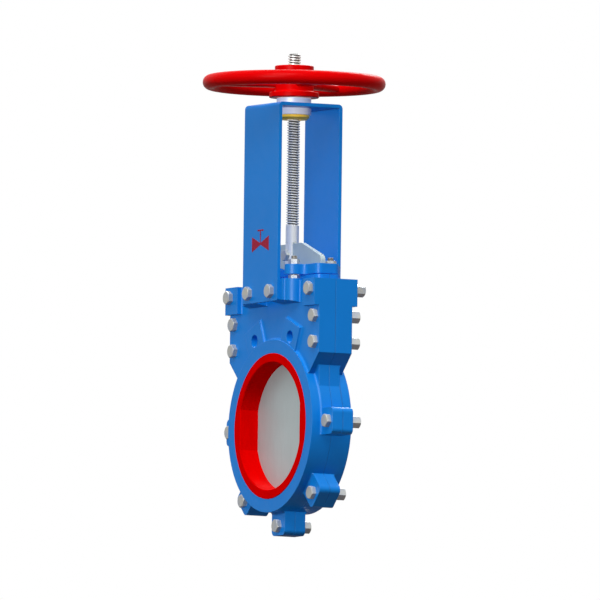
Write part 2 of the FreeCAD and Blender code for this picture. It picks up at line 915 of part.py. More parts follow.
def is_port_rim(edge):
    """The mouth of the bore on the sealing face."""
    box = edge.BoundBox
    outside = -(size("face_depth") + size("lip_proud")).value
    bore = size("bore_dia").value / 2
    on_face = box.YLength < 0.01 and abs(box.Center.y - outside) < 0.01
    return on_face and box.XMax < bore + 0.01 and box.XMin > -bore - 0.01


# ---------------------------------------------------------------- body bolting
def make_through_bolts(label, places, depth, spin):
    """Bolts with their heads on the front half, each head turned by an angle."""
    length = depth * 2 + size("bolt_nut")
    bolts = []
    for index, (x, z) in enumerate(places, start=1):
        name = f"{label}_{index}"
        bolt = hex_bolt(name, size("bolt_dia"), size("bolt_flats"), size("bolt_head"), length)
        bolts.append(place(bolt, x, -depth, z, leaning(FACE_FRONT, spin, x)))
    return group(label, bolts)


def make_through_nuts(label, places, depth, spin):
    """High nuts on the rear half, turned like the heads; each bolt ends level with its nut."""
    nuts = []
    for index, (x, z) in enumerate(places, start=1):
        nut = hex_nut(f"{label}_{index}", size("bolt_dia"), size("nut_flats"), size("bolt_nut"))
        nuts.append(place(nut, x, depth, z, leaning(FACE_REAR, -spin, x)))
    return group(label, nuts)


def make_body_bolting():
    """Three sets of bolts and nuts, one for each thickness of casting they clamp."""
    across = size("chest_bolt_across")
    chest = mirrored_x(across, size("chest_bolt_high")) + mirrored_x(across, size("chest_bolt_low"))
    sets = {
        "pad": (mirrored_x(across, size("pad_bolt_level")), size("ear_depth"), CORNER_UP),
        "chest": (chest, size("chest_depth"), CORNER_TILTED),
        "lug": (lug_places(), size("flange_depth"), CORNER_TILTED),
    }
    pieces = []
    for name, (places, depth, spin) in sets.items():
        pieces.append(make_through_bolts(f"{name}_bolts", places, depth, spin))
        pieces.append(make_through_nuts(f"{name}_nuts", places, depth, spin))
    return pieces


# ---------------------------------------------------------------- packing and gland
def make_packing_ring(label, index):
    """One square ring of packing round the gate."""
    body = new_body(label)
    gap = size("packing_gap")
    level = size("chamber_floor") + size("ring_height") * index
    outer = new_sketch(body, "outside", "XY_Plane", level)
    draw_plan(outer, size("chamber_half") - gap, size("chamber_depth") - gap, size("chamber_round"))
    pad(body, outer, size("ring_height"))
    inner = new_sketch(body, "inside", "XY_Plane", level)
    draw_plan(inner, size("gate_half") + gap * 2, size("gate_thick") / 2 + gap, 0.5)
    pocket(body, inner, size("ring_height"), along_normal=True)
    return body


def stud_places():
    across = size("stud_across")
    out = size("stud_out")
    return mirrored_x(across, -out) + mirrored_x(across, out)


def make_gland():
    """Follower: a plate with four ears over a spigot that presses on the packing."""
    body = new_body("gland")
    gap = size("gland_gap")
    level = size("box_top") + size("gland_lift")
    tip = size("chamber_floor") + size("ring_height") * size("ring_count")
    plate = new_sketch(body, "plate", "XY_Plane", level)
    draw_plan(plate, size("gland_half"), size("box_depth"), size("box_round"))
    pad(body, plate, size("gland_thick"))
    ears = new_sketch(body, "ears", "XY_Plane", level)
    ear = size("gland_ear_radius")
    reach = size("stud_out") + ear
    for side in (1, -1):
        centre = size("stud_across") * side
        draw_outline(
            ears,
            [
                (centre - ear, -reach, ear - 0.05),
                (centre + ear, -reach, ear - 0.05),
                (centre + ear, reach, ear - 0.05),
                (centre - ear, reach, ear - 0.05),
            ],
        )
    pad(body, ears, size("gland_thick"))
    dress(body, "Fillet", size("gland_fillet"), is_ear_root)
    notch = new_sketch(body, "clevis_notch", "XZ_Plane")
    top = level + size("gland_thick")
    draw_box(notch, size("gland_notch_half"), top - size("gland_notch_deep"), top + 1)
    pocket(body, notch, reach * 2, symmetric=True)
    spigot = new_sketch(body, "spigot", "XY_Plane", tip)
    draw_plan(spigot, size("chamber_half") - gap, size("chamber_depth") - gap, size("chamber_round"))
    pad(body, spigot, level - tip)
    slot = new_sketch(body, "gate_slot", "XY_Plane", tip)
    draw_plan(slot, size("gate_half") + gap * 4, size("gate_thick") / 2 + gap * 2, 1)
    pocket(body, slot, level - tip + size("gland_thick"), along_normal=True)
    holes = new_sketch(body, "stud_holes", "XY_Plane", level)
    for x, y in stud_places():
        draw_circle(holes, (x, y), (size("stud_dia") + size("bolt_clear")) / 2)
    pocket(body, holes, size("gland_thick"), along_normal=True)
    return body


def is_ear_root(edge):
    """The upright inner corners where the gland's ears leave its plate."""
    box = edge.BoundBox
    upright = box.XLength < 0.01 and box.YLength < 0.01
    ear = size("gland_ear_radius").value
    beside_ear = abs(abs(abs(box.Center.x) - size("stud_across").value) - ear) < 0.01
    on_plate = abs(abs(box.Center.y) - size("box_depth").value) < 0.01
    return upright and beside_ear and on_plate


def make_gland_studs():
    """Four studs screwed into the bosses on the body halves."""
    length = size("stud_end") - size("lump_top") + size("stud_depth")
    studs = []
    for index, (x, y) in enumerate(stud_places(), start=1):
        stud = rod(f"gland_stud_{index}", size("stud_dia"), length)
        studs.append(place(stud, x, y, size("stud_end")))
    return group("gland_studs", studs)


def make_stud_nuts(label, level, thick):
    """One nut on each gland stud."""
    nuts = []
    for index, (x, y) in enumerate(stud_places(), start=1):
        nut = hex_nut(f"{label}_{index}", size("stud_dia"), size("stud_flats"), thick)
        nuts.append(place(nut, x, y, level))
    return group(label, nuts)


# ---------------------------------------------------------------- yoke
def make_yoke():
    """Bent sheet steel in the shape of an upside-down U."""
    body = new_body("yoke")
    inside = size("yoke_inside")
    outside = inside + size("yoke_sheet")
    bottom = size("lump_bottom")
    top = size("yoke_top")
    under = top - size("yoke_sheet")
    inner_bend = size("yoke_bend")
    outer_bend = inner_bend + size("yoke_sheet")
    profile = new_sketch(body, "profile", "YZ_Plane")
    draw_outline(
        profile,
        [
            (-outside, bottom),
            (-inside, bottom),
            (-inside, under, inner_bend),
            (inside, under, inner_bend),
            (inside, bottom),
            (outside, bottom),
            (outside, top, outer_bend),
            (-outside, top, outer_bend),
        ],
    )
    pad(body, profile, size("yoke_half") * 2, symmetric=True)
    seat = new_sketch(body, "housing_hole", "XY_Plane", under)
    draw_circle(seat, (0, 0), size("housing_dia") / 2)
    pocket(body, seat, size("yoke_sheet"), along_normal=True)
    screws = new_sketch(body, "screw_holes", "XZ_Plane")
    for x, z in mirrored_x(size("yoke_screw_across"), size("pad_bolt_level")):
        draw_circle(screws, (x, z), (size("bolt_dia") + size("bolt_clear")) / 2)
    pocket(body, screws, outside * 2 + 2, symmetric=True)
    dress(body, "Fillet", size("yoke_corner"), is_leg_corner)
    return body


def is_leg_corner(edge):
    """The lower corners of the yoke legs, which run through the sheet."""
    box = edge.BoundBox
    through_sheet = abs(box.YLength - size("yoke_sheet").value) < 0.01
    at_corner = abs(abs(box.Center.x) - size("yoke_half").value) < 0.01
    at_bottom = abs(box.Center.z - size("lump_bottom").value) < 0.01
    return through_sheet and at_corner and at_bottom


def make_yoke_screws():
    """Four hexagon screws through the yoke legs into the body pads."""
    depth = size("yoke_inside") + size("yoke_sheet")
    screws = []
    for side, turn in ((-1, FACE_FRONT), (1, FACE_REAR)):
        for x, z in mirrored_x(size("yoke_screw_across"), size("pad_bolt_level")):
            name = f"yoke_screw_{len(screws) + 1}"
            long = size("yoke_screw_long")
            screw = hex_bolt(name, size("bolt_dia"), size("bolt_flats"), size("bolt_head"), long)
            screws.append(place(screw, x, depth * side, z, spun(turn, CORNER_UP)))
    return group("yoke_screws", screws)


# ---------------------------------------------------------------- gate and stem
def make_gate():
    """Plate gate: straight sides, round lower edge, sloped shoulders at the top."""
    body = new_body("gate")
    thick = size("gate_thick")
    half = size("gate_half")
    shoulder = size("gate_shoulder")
    blade = new_sketch(body, "blade", "XZ_Plane")
    draw_cavity(blade, half, size("gate_arc"), shoulder - size("gate_round") * 2)
    pad(body, blade, thick, symmetric=True)
    crown = new_sketch(body, "crown", "XZ_Plane")
    draw_outline(
        crown,
        [
            (-half, shoulder - size("gate_round") * 3),
            (half, shoulder - size("gate_round") * 3),
            (half, shoulder, size("gate_round")),
            (size("gate_flat"), size("gate_top"), size("gate_round")),
            (-size("gate_flat"), size("gate_top"), size("gate_round")),
            (-half, shoulder, size("gate_round")),
        ],
    )
    pad(body, crown, thick, symmetric=True)
    hole = new_sketch(body, "clevis_hole", "XZ_Plane")
    draw_circle(hole, (0, size("clevis_level")), size("clevis_dia") / 2 + size("fork_gap"))
    pocket(body, hole, thick * 2, symmetric=True)
    dress(body, "Chamfer", size("gate_bevel"), is_blade_edge)
    return body


def is_blade_edge(edge):
    """The two long arcs along the bottom of the blade."""
    box = edge.BoundBox
    return box.YLength < 0.01 and box.ZMax < 0 and box.XLength > size("gate_half").value


def tooth_profile(sketch, level, base_radius, crest_radius, gap):
    """A trapezoidal thread tooth, 30 degrees between flanks, widened by a gap."""
    pitch = size("stem_pitch")
    middle_radius = (size("stem_dia") - pitch / 2) / 2
    slope = math.tan(math.radians(15))
    base_half = pitch / 4 + (middle_radius - base_radius) * slope + gap
    crest_half = pitch / 4 + (middle_radius - crest_radius) * slope + gap
    draw_outline(
        sketch,
        [
            (base_radius, level - base_half),
            (crest_radius, level - crest_half),
            (crest_radius, level + crest_half),
            (base_radius, level + base_half),
        ],
    )


def wind_thread(body, kind, sketch, height):
    """Sweep a tooth along a left-hand helix, so that turning it anticlockwise lifts the stem."""
    feature = add_feature(body, kind, sketch, "thread")
    feature.ReferenceAxis = (sketch, ["V_Axis"])
    feature.Mode = "pitch-height-angle"
    bind(feature, "Pitch", size("stem_pitch"))
    bind(feature, "Height", height)
    feature.LeftHanded = True
    return feature


def make_stem():
    """Rising stem: long trapezoidal thread above, a fork that straddles the gate below."""
    body = new_body("stem")
    plain = size("stem_plain") / 2
    core = size("stem_core") / 2
    end = size("stem_end")
    shoulder = size("stem_shoulder")
    bottom = size("fork_end")
    pitch = size("stem_pitch")
    profile = new_sketch(body, "profile", "XZ_Plane")
    draw_outline(
        profile,
        [
            (0, bottom),
            (plain, bottom),
            (plain, shoulder),
            (core, shoulder + 1),
            (core, end),
            (0, end),
        ],
    )
    revolve(body, profile)
    tooth = new_sketch(body, "tooth", "XZ_Plane")
    tooth_profile(tooth, shoulder - pitch, core - 0.2, size("stem_dia") / 2, as_size(0))
    wind_thread(body, "AdditiveHelix", tooth, end - shoulder + pitch * 2)
    trim = new_sketch(body, "end_trim", "XZ_Plane")
    outer = size("stem_dia")
    draw_outline(
        trim,
        [
            (0, end),
            (core, end),
            (plain, end - plain + core),
            (outer, end - plain + core),
            (outer, end + pitch * 2),
            (0, end + pitch * 2),
        ],
    )
    revolve(body, trim, "Groove")
    slot = new_sketch(body, "fork_slot", "YZ_Plane")
    slot_half = size("gate_thick") / 2 + size("fork_gap")
    draw_box(slot, slot_half, bottom - 1, size("fork_slot_top"))
    pocket(body, slot, outer * 2, symmetric=True)
    flats = new_sketch(body, "fork_flats", "YZ_Plane")
    flat = size("fork_flats") / 2
    flat_top = size("fork_slot_top")
    for side in (1, -1):
        near = flat * side
        far = outer * side
        draw_outline(flats, [(near, bottom - 1), (far, bottom - 1), (far, flat_top), (near, flat_top)])
    pocket(body, flats, outer * 2, symmetric=True)
    hole = new_sketch(body, "clevis_hole", "XZ_Plane")
    draw_circle(hole, (0, size("clevis_level")), size("clevis_dia") / 2 + size("fork_gap"))
    pocket(body, hole, outer * 2, symmetric=True)
    return body


def make_clevis_bolt():
    """Bolt that pins the gate in the stem's fork."""
    flat = size("fork_flats") / 2
    length = flat * 2 + size("stud_nut") + size("clevis_bolt_end")
    bolt = hex_bolt("clevis_bolt", size("clevis_dia"), size("stud_flats"), size("clevis_head"), length)
    return place(bolt, 0, -flat, size("clevis_level"), FACE_FRONT)


def make_clevis_nut():
    nut = hex_nut("clevis_nut", size("clevis_dia"), size("stud_flats"), size("stud_nut"))
    return place(nut, 0, size("fork_flats") / 2, size("clevis_level"), FACE_REAR)


# ---------------------------------------------------------------- drive
def make_bearing_housing():
    """Turned housing in the yoke's top that carries the stem nut and its bearing."""
    body = new_body("bearing_housing")
    outer = size("housing_dia") / 2
    bore = size("nut_shank_dia") / 2 + size("housing_gap")
    seat = size("bearing_dia") / 2 + size("packing_gap")
    bottom = size("housing_bottom")
    top = size("housing_top")
    profile = new_sketch(body, "profile", "XZ_Plane")
    draw_outline(
        profile,
        [
            (bore, bottom),
            (outer, bottom, size("housing_edge")),
            (outer, top, size("housing_edge")),
            (seat, top),
            (seat, size("bearing_floor")),
            (bore, size("bearing_floor")),
        ],
    )
    revolve(body, profile)
    return body


def make_ring(label, inner, outer, low, high):
    """A plain turned ring about the stem."""
    body = new_body(label)
    profile = new_sketch(body, "profile", "XZ_Plane")
    draw_outline(profile, [(inner, low), (outer, low), (outer, high), (inner, high)])
    revolve(body, profile)
    return body


def make_thrust_washer():
    """Washer between the stem nut's flange and the housing."""
    top = size("housing_bottom")
    inner = size("nut_shank_dia") / 2 + size("packing_gap")
    outer = size("nut_flange_dia") / 2
    return make_ring("thrust_washer", inner, outer, top - size("washer_thick"), top)


def bearing_middle():
    return size("bearing_floor") + size("bearing_tall") / 2


def cut_ball_track(body):
    """The round groove that the balls run in."""
    groove = new_sketch(body, "track", "XZ_Plane")
    radius = size("ball_dia") / 2 + size("thread_gap")
    draw_circle(groove, (size("bearing_pitch_dia") / 2, bearing_middle()), radius)
    revolve(body, groove, "Groove")


def make_bearing_races():
    """Lower race pressed in the housing, upper race under the hub."""
    gap = size("packing_gap")
    outer = size("bearing_dia") / 2
    shank = size("nut_shank_dia") / 2
    split = size("race_split") / 2
    floor = size("bearing_floor")
    middle = bearing_middle()
    top = floor + size("bearing_tall")
    lower = make_ring("bearing_race_lower", shank + gap * 3, outer, floor, middle - split)
    upper = make_ring("bearing_race_upper", shank + gap, outer - gap * 2, middle + split, top)
    cut_ball_track(lower)
    cut_ball_track(upper)
    return [lower, upper]


def ball_places():
    """Ball centres, evenly spaced round the stem."""
    radius = size("bearing_pitch_dia") / 2
    count = SIZES["ball_count"]
    return [turned(radius, as_size(0), 360 * step / count) for step in range(count)]


def make_bearing_balls():
    balls = []
    for index, (x, y) in enumerate(ball_places(), start=1):
        ball = primitive("Sphere", f"ball_{index}", Radius=size("ball_dia") / 2)
        balls.append(place(ball, x, y, bearing_middle()))
    return group("bearing_balls", balls)


def make_bearing_cage():
    """Thin ring with a round pocket for each ball."""
    pitch_radius = size("bearing_pitch_dia") / 2
    half_wide = size("cage_wide") / 2
    half_thick = size("cage_thick") / 2
    middle = bearing_middle()
    inner = pitch_radius - half_wide
    outer = pitch_radius + half_wide
    body = make_ring("bearing_cage", inner, outer, middle - half_thick, middle + half_thick)
    pockets = new_sketch(body, "pockets", "XY_Plane", middle - half_thick)
    for x, y in ball_places():
        draw_circle(pockets, (x, y), size("ball_dia") / 2 + size("packing_gap"))
    pocket(body, pockets, size("cage_thick"), along_normal=True)
    return body


def make_stem_nut():
    """Bronze nut: a flange under the housing, a shank up through the hub."""
    body = new_body("stem_nut")
    bottom = size("nut_bottom")
    flange = size("nut_flange_dia") / 2
    shank = size("nut_shank_dia") / 2
    counterbore = size("nut_bore_dia") / 2
    pitch = size("stem_pitch")
    bore = size("stem_core") / 2 + size("flank_gap") * 1.5
    thread_start = size("nut_thread_start")
    top = size("nut_top")
    chamfer = size("nut_chamfer")
    profile = new_sketch(body, "profile", "XZ_Plane")
    draw_outline(
        profile,
        [
            (counterbore, bottom),
            (flange - chamfer, bottom),
            (flange, bottom + chamfer),
            (flange, bottom + size("nut_flange")),
            (shank, bottom + size("nut_flange")),
            (shank, top - size("nut_edge")),
            (shank - size("nut_edge"), top),
            (bore, top),
            (bore, thread_start),
            (counterbore, thread_start - 2),
        ],
    )
    revolve(body, profile)
    tooth = new_sketch(body, "tooth", "XZ_Plane")
    below = thread_start - size("stem_shoulder")
    turns_below = math.floor(below.value / pitch.value) - 1
    level = size("stem_shoulder") + pitch * turns_below
    crest = size("stem_dia") / 2 + size("flank_gap")
    tooth_profile(tooth, level, bore - 0.2, crest, size("flank_gap"))
    wind_thread(body, "SubtractiveHelix", tooth, top - thread_start + pitch * 3)
    cut_keyway(body)
    return body


def cut_keyway(body):
    """The key's slot, cut right through along the shank or the hub."""
    low, high = key_levels()
    slot = new_sketch(body, "keyway", "XY_Plane", low)
    inner, outer = key_radii()
    half = size("key_wide") / 2
    draw_outline(slot, [(inner, -half), (outer, -half), (outer, half), (inner, half)])
    pocket(body, slot, high - low, along_normal=True)


def key_levels():
    high = size("hub_top") - size("lock_nut_thick") - size("key_below_nut")
    return high - size("key_long"), high


def key_radii():
    middle = size("nut_shank_dia") / 2
    half = size("key_tall") / 2
    return middle - half, middle + half


def make_hub_key():
    """Parallel key between the stem nut and the handwheel."""
    low, high = key_levels()
    inner, _ = key_radii()
    key = primitive("Box", "hub_key", Length=size("key_tall"), Width=size("key_wide"), Height=high - low)
    return place(key, inner, -size("key_wide") / 2, low)


def make_handwheel():
    """Cast handwheel: round rim, flat spokes and a flanged hub."""
    body = new_body("handwheel")
    level = size("wheel_level")
    hub = size("hub_dia") / 2
    disc = size("hub_disc_dia") / 2
    bore = size("nut_shank_dia") / 2 + size("thread_gap")
    recess = size("lock_nut_dia") / 2 + 1
    bottom = size("bearing_floor") + size("bearing_tall")
    top = size("hub_top")
    seat = top - size("lock_nut_thick") - size("lock_nut_sunk")
    edge = size("hub_edge")
    disc_top = bottom + size("hub_disc_thick")
    profile = new_sketch(body, "hub", "XZ_Plane")
    draw_outline(
        profile,
        [
            (bore, bottom),
            (disc, bottom, edge),
            (disc, disc_top, edge),
            (hub, disc_top, size("hub_root")),
            (hub, top, edge),
            (recess, top),
            (recess, seat),
            (bore, seat),
        ],
    )
    revolve(body, profile)
    rim = new_sketch(body, "rim", "XZ_Plane")
    draw_circle(rim, (size("wheel_radius"), level), size("wheel_tube") / 2)
    revolve(body, rim)
    add_spokes(body, level, hub)
    cut_hub_keyway(body, bottom, seat)
    return body


def add_spokes(body, level, hub):
    """Flat spokes that narrow from the hub to the rim."""
    root = hub - size("spoke_buried")
    slim = size("spoke_slim")
    sections = []
    for name, radius, scale in (("root", root, as_size(1)), ("tip", size("wheel_radius"), slim)):
        wide = size("spoke_wide") / 2 * scale
        tall = size("spoke_tall") / 2 * scale
        corner = tall * size("spoke_edge")
        section = new_sketch(body, f"spoke_{name}", "YZ_Plane", radius)
        draw_outline(
            section,
            [
                (-wide, level - tall, corner),
                (wide, level - tall, corner),
                (wide, level + tall, corner),
                (-wide, level + tall, corner),
            ],
        )
        sections.append(section)
    loft = body.newObject("PartDesign::AdditiveLoft", "handwheel_spoke")
    loft.Profile = sections[0]
    loft.Sections = [sections[1]]
    pattern_round(body, loft, size("spoke_count"))


def cut_hub_keyway(body, low, high):
    """The hub's half of the keyway, open at both ends of the bore."""
    slot = new_sketch(body, "keyway", "XY_Plane", low)
    inner, outer = key_radii()
    half = size("key_wide") / 2
    draw_outline(slot, [(inner, -half), (outer, -half), (outer, half), (inner, half)])
    pocket(body, slot, high - low, along_normal=True)


def make_wheel_lock_nut():
    """Slotted round nut, sunk in the top of the hub."""
    inner = size("nut_shank_dia") / 2 + size("thread_gap")
    outer = size("lock_nut_dia") / 2
    low = size("hub_top") - size("lock_nut_thick") - size("lock_nut_sunk")
    body = make_ring("wheel_lock_nut", inner, outer, low, low + size("lock_nut_thick"))
    slots = new_sketch(body, "spanner_slots", "XY_Plane", low)
    half = size("lock_nut_slot") / 2
    floor = outer - size("lock_nut_slot_deep")
    for step in range(4):
        angle = 45 + 90 * step
        draw_outline(
            slots,
            [
                turned(floor, -half, angle),
                turned(outer + 1, -half, angle),
                turned(outer + 1, half, angle),
                turned(floor, half, angle),
            ],
        )
    pocket(body, slots, size("lock_nut_thick"), along_normal=True)
    return body


# ---------------------------------------------------------------- assembly
def make_parts():
    """Every node of the valve, static pieces first."""
    body_front = make_body_front()
    liner_front = make_liner_front()
    parts = [
        body_front,
        mirror_to_rear("body_rear", body_front),
        make_body_gasket(),
        liner_front,
        mirror_to_rear("liner_rear", liner_front),
    ]
    parts += make_body_bolting()
    for index, name in enumerate(("lower", "middle", "upper")):
        parts.append(make_packing_ring(f"packing_ring_{name}", index))
    parts.append(make_gland())
    parts.append(make_gland_studs())
    gland_top = size("box_top") + size("gland_lift") + size("gland_thick")
    parts.append(make_stud_nuts("gland_nuts", gland_top, size("stud_nut")))
    parts.append(make_stud_nuts("gland_jam_nuts", size("lump_top"), size("jam_nut")))
    parts.append(make_yoke())
    parts.append(make_yoke_screws())
    parts.append(make_bearing_housing())
    parts.append(make_thrust_washer())
    parts += make_bearing_races()
    parts.append(make_bearing_balls())
    parts.append(make_bearing_cage())
    parts.append(make_stem_nut())
    parts.append(make_hub_key())
    parts.append(make_handwheel())
    parts.append(make_wheel_lock_nut())
    parts.append(make_stem())
    parts.append(make_gate())
    parts.append(make_clevis_bolt())
    parts.append(make_clevis_nut())
    return parts


def check_document():
    """Stop if any object of the document failed to build."""
    doc.recompute()
    broken = [item.Name for item in doc.Objects if {"Invalid", "Error"} & set(item.State)]
    if broken:
        raise RuntimeError(f"these objects did not build: {broken}")


def write_parts(parts):
    """Check each node's shape, then write it to its own file."""
    for part in parts:
        if part.Shape.isNull() or not part.Shape.isValid():
            raise RuntimeError(f"{part.Label} has no valid shape")
    for part in parts:
        part.Shape.exportStep(f"parts/{part.Label}.step")
        solids = len(part.Shape.Solids)
        print(f"{part.Label}: {solids} solids, {part.Shape.Volume / 1000:.2f} cm3")


write_sheet()
nodes = make_parts()
check_document()
write_parts(nodes)
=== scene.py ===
"""Looks for the DN 200 knife gate valve: materials, stud threads, marking, floor, lights and camera.

Lengths are metres, in the CAD frame: origin at the bore's centre, the bore
along Y with -Y the front face, and the stem along +Z.
"""
import math

import bpy
from mathutils import Matrix, Vector


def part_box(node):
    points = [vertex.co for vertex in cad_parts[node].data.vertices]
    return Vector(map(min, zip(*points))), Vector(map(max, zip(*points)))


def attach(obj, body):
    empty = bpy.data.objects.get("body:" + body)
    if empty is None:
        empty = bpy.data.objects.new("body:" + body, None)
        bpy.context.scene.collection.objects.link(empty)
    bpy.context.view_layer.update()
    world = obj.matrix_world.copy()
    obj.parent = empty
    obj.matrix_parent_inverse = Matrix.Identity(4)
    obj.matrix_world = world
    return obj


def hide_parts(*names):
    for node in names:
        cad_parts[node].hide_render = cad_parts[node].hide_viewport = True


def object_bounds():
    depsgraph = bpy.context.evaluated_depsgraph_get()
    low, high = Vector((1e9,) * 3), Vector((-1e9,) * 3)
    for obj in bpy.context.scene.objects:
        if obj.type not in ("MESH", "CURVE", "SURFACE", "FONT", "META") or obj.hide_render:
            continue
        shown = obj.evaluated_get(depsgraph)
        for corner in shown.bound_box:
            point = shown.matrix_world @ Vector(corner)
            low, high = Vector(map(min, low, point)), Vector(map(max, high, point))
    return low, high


MM = 0.001

# Camera: a parallel view from the right of the front face, a little below.
VIEW_AZIMUTH = 61.0
VIEW_ELEVATION = -4.4
VIEW_ROLL = 0.73
VIEW_WIDTH = 0.936
VIEW_RIGHT_SHIFT = 0.0134
VIEW_LEVEL = 0.199
VIEW_DISTANCE = 2.0
VIEW_REACH = 20.0

# Surroundings: radiance at the horizon and what straight up adds to it, as matt surfaces
# and as shiny ones get it, and how little light the floor sends back.
MATT_HORIZON = 0.2
MATT_ZENITH_GAIN = 0.55
SHINY_HORIZON = 0.6
SHINY_ZENITH_GAIN = 1.3
FLOOR_ALBEDO = (0.17, 0.15, 0.14, 1.0)

# The suns' spread, and the azimuth and elevation each comes from, in degrees.
SUN_SPREAD = 24.0
FRONT_SUN = (45, 42)
BACK_SUN = (225, 35)
LOW_SUN = (33, 6)

# The floor: its gap under the valve, its size, and its mesh's rings and sides.
FLOOR_GAP = 0.5 * MM
FLOOR_RADIUS = 6.0
FLOOR_RINGS = 4
FLOOR_SIDES = 96

# A noise texture's usual range, and the turn of a normal between a flat face and a paler edge (partly
# worn, partly painted highlight).
NOISE_LOW = 0.3
NOISE_HIGH = 0.7
FLAT_COSINE = 0.99
EDGE_COSINE = 0.85

# How far the paler edges go towards white, and how much of it shows: partly worn paint, partly painted
# highlight on the edges.
WEAR_AND_HIGHLIGHT_PALENESS = 0.22
WEAR_AND_HIGHLIGHT_SHARE = 0.5

# The stem's thread: radius at the crests and towards the roots, and where it starts.
THREAD_CREST = 9.4 * MM
THREAD_ROOT = 8.0 * MM
THREAD_START = 315 * MM

# Paint and metal colours, as display values.
BLUE = (6, 114, 197)
RED_ENAMEL = (200, 0, 2)
RED_RUBBER = (196, 0, 0)
MARKING_RED = (150, 20, 52)
ZINC = (174, 176, 176)
DULL_PLATE = (140, 136, 130)
STAINLESS = (216, 218, 216)
PLATE = (168, 184, 186)
HOUSING = (224, 226, 236)
BRONZE = (255, 208, 66)
BEARING = (186, 188, 194)
# Painted shade for the stem's thread roots.
ROOT_SHADE = (58, 58, 56)
PACKING = (206, 200, 182)
GASKET = (10, 40, 70)
FLOOR = (193, 194, 195)


def linear(colour):
    """Scene-linear RGBA from a display colour."""
    channels = []
    for value in colour:
        share = value / 255
        if share <= 0.04045:
            channels.append(share / 12.92)
        else:
            channels.append(((share + 0.055) / 1.055) ** 2.4)
    return (*channels, 1.0)


def scaled(colour, factor):
    """A darker or paler version of a display colour."""
    return tuple(min(255, value * factor) for value in colour)


# ---------------------------------------------------------------- node helpers
class Shader:
    """A material's node tree with short calls for the nodes used here."""

    def __init__(self, name):
        self.material = bpy.data.materials.new(name)
        self.material.use_nodes = True
        self.tree = self.material.node_tree
        self.tree.nodes.clear()
        self.output = self.tree.nodes.new("ShaderNodeOutputMaterial")
        self.surface = self.tree.nodes.new("ShaderNodeBsdfPrincipled")
        self.link(self.surface.outputs[0], self.output.inputs["Surface"])
        self.place = self.node("ShaderNodeTexCoord").outputs["Object"]

    def node(self, kind, **settings):
        node = self.tree.nodes.new(kind)
        for key, value in settings.items():
            setattr(node, key, value)
        return node

    def link(self, source, target):
        self.tree.links.new(source, target)

    def feed(self, socket, value):
        """Link a socket to another node's output, or give it a plain value."""
        if hasattr(value, "is_output"):
            self.link(value, socket)
        else:
            socket.default_value = value

    def set(self, **values):
        for key, value in values.items():
            self.feed(self.surface.inputs[key.replace("_", " ")], value)

    def stretch(self, scale):
        """Object coordinates scaled separately along X, Y and Z."""
        mapping = self.node("ShaderNodeMapping")
        mapping.inputs["Scale"].default_value = scale
        self.link(self.place, mapping.inputs["Vector"])
        return mapping.outputs["Vector"]

    def noise(self, scale, detail=4.0, rough=0.5, vector=None):
        node = self.node("ShaderNodeTexNoise")
        node.inputs["Scale"].default_value = scale
        node.inputs["Detail"].default_value = detail
        node.inputs["Roughness"].default_value = rough
        self.link(vector or self.place, node.inputs["Vector"])
        return node.outputs["Fac"]

    def remap(self, source, low, high, to_low, to_high):
        node = self.node("ShaderNodeMapRange")
        for key, value in zip(("From Min", "From Max", "To Min", "To Max"), (low, high, to_low, to_high)):
            node.inputs[key].default_value = value
        self.link(source, node.inputs["Value"])
        return node.outputs["Result"]

    def spread(self, noise, low, high):
        """A noise output, with its usual range drawn out to these values."""
        return self.remap(noise, NOISE_LOW, NOISE_HIGH, low, high)

    def math(self, operation, first, second):
        node = self.node("ShaderNodeMath", operation=operation)
        self.feed(node.inputs[0], first)
        self.feed(node.inputs[1], second)
        return node.outputs[0]

    def mix(self, factor, first, second):
        node = self.node("ShaderNodeMix", data_type="RGBA")
        self.feed(node.inputs["Factor"], factor)
        for key, value in (("A", first), ("B", second)):
            socket = [item for item in node.inputs if item.name == key and item.type == "RGBA"][0]
            self.feed(socket, value)
        return [item for item in node.outputs if item.type == "RGBA"][0]

    def rounded(self, radius):
        """Normals turned over the edges as if they had this radius."""
        node = self.node("ShaderNodeBevel", samples=4)
        node.inputs["Radius"].default_value = radius
        return node.outputs["Normal"]

    def edge_share(self, rounded):
        """High near an edge, where the rounded normal leaves the flat one."""
        node = self.node("ShaderNodeVectorMath", operation="DOT_PRODUCT")
        self.link(rounded, node.inputs[0])
        self.link(self.node("ShaderNodeNewGeometry").outputs["Normal"], node.inputs[1])
        return self.remap(node.outputs["Value"], FLAT_COSINE, EDGE_COSINE, 0.0, 1.0)

    def bump(self, height, distance, normal=None):
        node = self.node("ShaderNodeBump")
        node.inputs["Strength"].default_value = 1.0
        node.inputs["Distance"].default_value = distance
        self.link(height, node.inputs["Height"])
        if normal is not None:
            self.link(normal, node.inputs["Normal"])
        return node.outputs["Normal"]


# ---------------------------------------------------------------- materials
# Grain frequency along X, Y and Z: rings round the stem's axis, and strokes up the gate.
TURNED_GRAIN = (0.12, 0.12, 34.0)
TURNED_DEPTH = 0.03 * MM
GATE_GRAIN = (34.0, 1.0, 0.25)


